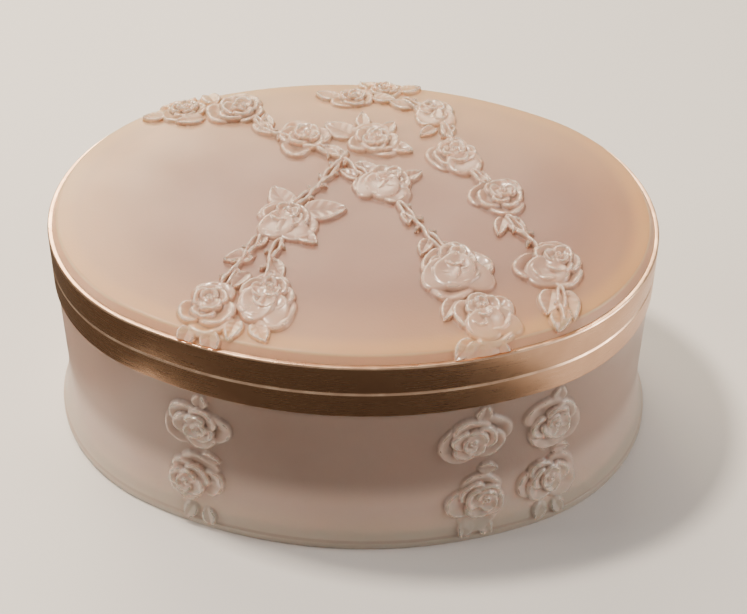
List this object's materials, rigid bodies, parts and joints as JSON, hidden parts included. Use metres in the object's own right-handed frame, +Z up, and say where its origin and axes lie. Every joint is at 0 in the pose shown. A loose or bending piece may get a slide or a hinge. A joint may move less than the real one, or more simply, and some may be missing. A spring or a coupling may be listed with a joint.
{
  "type": "trinket box",
  "caption": "Oval box of satin-frosted crystal with moulded rose garlands, gilt rim mounts and a lid hinged at the back.",
  "frame": {"origin": "centre of the foot on the table", "axes": "+X along the oval to the right, -Y to the front, +Z up; the hinge is at +Y"},
  "size_m": [0.1748, 0.1304, 0.0747],
  "materials": {
    "crystal": "satin-frosted pressed crystal, polished on the relief's ridges",
    "gilt_band": "satin gilt, finely brushed along the band",
    "gilt_inner": "bright gilt",
    "gilt_hinge": "satin gilt, worn on the barrel",
    "cement": "matt setting cement"
  },
  "bodies": {
    "base": {"base_glass": "crystal", "base_cement": "cement", "base_band": "gilt_band", "base_rim_plate": "gilt_inner", "base_collar": "gilt_inner", "hinge_base_leaf": "gilt_hinge", "hinge_pin": "gilt_hinge"},
    "lid": {"lid_glass": "crystal", "lid_cement": "cement", "lid_band": "gilt_band", "lid_rim_plate": "gilt_inner", "hinge_lid_leaf": "gilt_hinge"}
  },
  "joints": [
    {"name": "lid_hinge", "type": "hinge", "parent": "base", "child": "lid", "pos_m": [0, 0.0631, 0.05785], "axis": [-1, 0, 0], "range_deg": [0, 100]}
  ]
}
